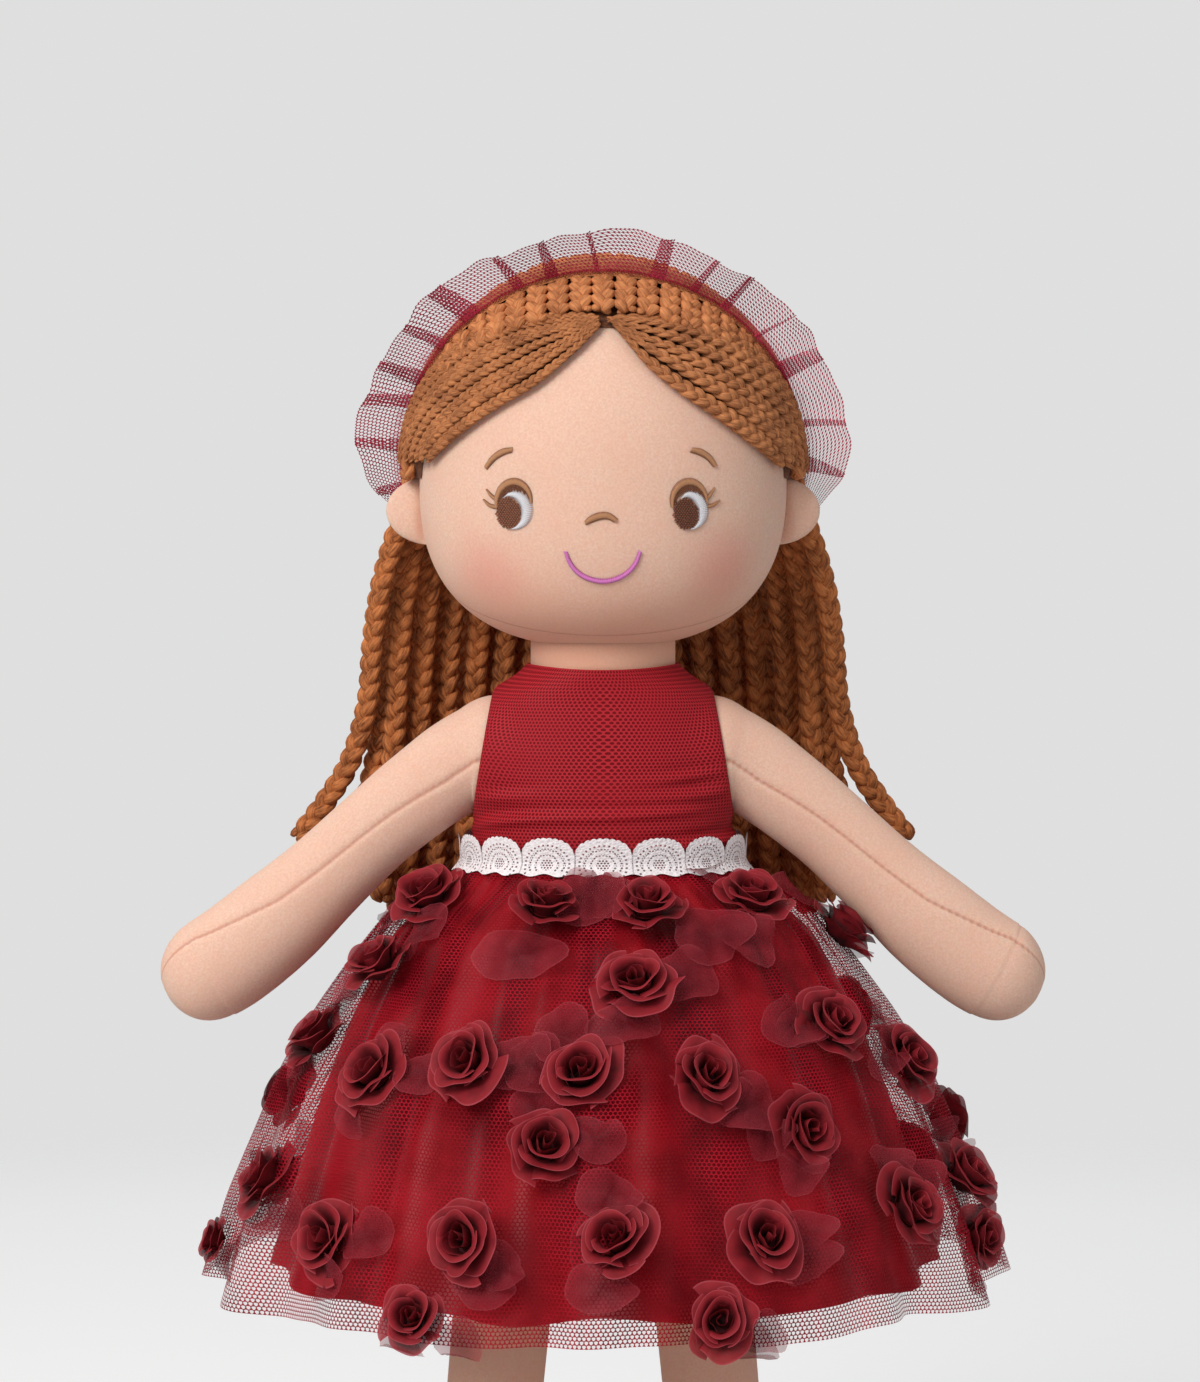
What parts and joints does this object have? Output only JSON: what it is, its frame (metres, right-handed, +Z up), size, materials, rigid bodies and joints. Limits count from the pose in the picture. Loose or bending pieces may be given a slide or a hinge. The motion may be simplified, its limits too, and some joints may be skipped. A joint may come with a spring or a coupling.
{
  "type": "rag doll",
  "caption": "Stuffed cloth doll with plaited yarn hair, a pleated headband, a lace-waisted dress with a net skirt and roses, and jointed neck, arms and legs.",
  "frame": {"origin": "on the ground midway between the soles, under the middle of the doll", "axes": "+Z up, the face looks along -Y, the doll's own left side is at +X"},
  "size_m": [0.2646, 0.2386, 0.4544],
  "materials": {
    "skin_cloth": "matte",
    "yarn": "matte",
    "satin": "satin",
    "net": "matte",
    "chiffon": "matte",
    "lace": "matte"
  },
  "bodies": {
    "torso": {"torso": "skin_cloth", "bodice": "satin", "waist_lace": "lace", "underskirt": "satin", "overskirt": "net", "rose_01": "chiffon", "rose_02": "chiffon", "rose_03": "chiffon", "rose_04": "chiffon", "rose_05": "chiffon", "rose_06": "chiffon", "rose_07": "chiffon", "rose_08": "chiffon", "rose_09": "chiffon", "rose_10": "chiffon", "rose_11": "chiffon", "rose_12": "chiffon", "rose_13": "chiffon", "rose_14": "chiffon", "rose_15": "chiffon", "rose_16": "chiffon", "rose_17": "chiffon", "rose_18": "chiffon", "rose_19": "chiffon", "rose_20": "chiffon", "rose_21": "chiffon", "rose_22": "chiffon", "rose_23": "chiffon", "rose_24": "chiffon", "rose_25": "chiffon", "rose_26": "chiffon", "rose_27": "chiffon"},
    "head": {"head": "skin_cloth", "right_ear": "skin_cloth", "left_ear": "skin_cloth", "hair_cap": "yarn", "right_fringe": "yarn", "left_fringe": "yarn", "headband": "net", "headband_ruffle": "net", "right_braid_1": "yarn", "right_braid_2": "yarn", "right_braid_3": "yarn", "right_braid_4": "yarn", "right_braid_5": "yarn", "right_braid_6": "yarn", "right_braid_7": "yarn", "right_braid_8": "yarn", "left_braid_1": "yarn", "left_braid_2": "yarn", "left_braid_3": "yarn", "left_braid_4": "yarn", "left_braid_5": "yarn", "left_braid_6": "yarn", "left_braid_7": "yarn", "left_braid_8": "yarn"},
    "right_arm": {"right_arm": "skin_cloth"},
    "left_arm": {"left_arm": "skin_cloth"},
    "right_leg": {"right_leg": "skin_cloth"},
    "left_leg": {"left_leg": "skin_cloth"}
  },
  "joints": [
    {"name": "neck_turn", "type": "hinge", "parent": "torso", "child": "head", "pos_m": [0, 0, 0.3286], "axis": [0, 0, 1], "range_deg": [-30, 30], "deforming": ["right_braid_1", "right_braid_2", "right_braid_3", "right_braid_4", "right_braid_5", "right_braid_6", "right_braid_7", "right_braid_8", "left_braid_1", "left_braid_2", "left_braid_3", "left_braid_4", "left_braid_5", "left_braid_6", "left_braid_7", "left_braid_8"]},
    {"name": "right_shoulder", "type": "hinge", "parent": "torso", "child": "right_arm", "pos_m": [-0.0363, 0, 0.29691], "axis": [-0.9866, 0, 0.1633], "range_deg": [-15, 130]},
    {"name": "left_shoulder", "type": "hinge", "parent": "torso", "child": "left_arm", "pos_m": [0.0363, 0, 0.29691], "axis": [-0.9866, 0, -0.1633], "range_deg": [-15, 130]},
    {"name": "right_hip", "type": "hinge", "parent": "torso", "child": "right_leg", "pos_m": [-0.0244, 0, 0.1947], "axis": [-1, 0, 0], "range_deg": [-25, 90], "deforming": ["underskirt", "overskirt", "rose_01", "rose_02", "rose_03", "rose_04", "rose_05", "rose_06", "rose_07", "rose_08", "rose_09", "rose_10", "rose_11", "rose_12", "rose_13", "rose_14", "rose_15", "rose_16", "rose_17", "rose_18", "rose_19", "rose_20", "rose_21", "rose_22", "rose_23", "rose_24", "rose_25", "rose_26", "rose_27"]},
    {"name": "left_hip", "type": "hinge", "parent": "torso", "child": "left_leg", "pos_m": [0.0244, 0, 0.1947], "axis": [-1, 0, 0], "range_deg": [-25, 90], "deforming": ["underskirt", "overskirt", "rose_01", "rose_02", "rose_03", "rose_04", "rose_05", "rose_06", "rose_07", "rose_08", "rose_09", "rose_10", "rose_11", "rose_12", "rose_13", "rose_14", "rose_15", "rose_16", "rose_17", "rose_18", "rose_19", "rose_20", "rose_21", "rose_22", "rose_23", "rose_24", "rose_25", "rose_26", "rose_27"]}
  ]
}
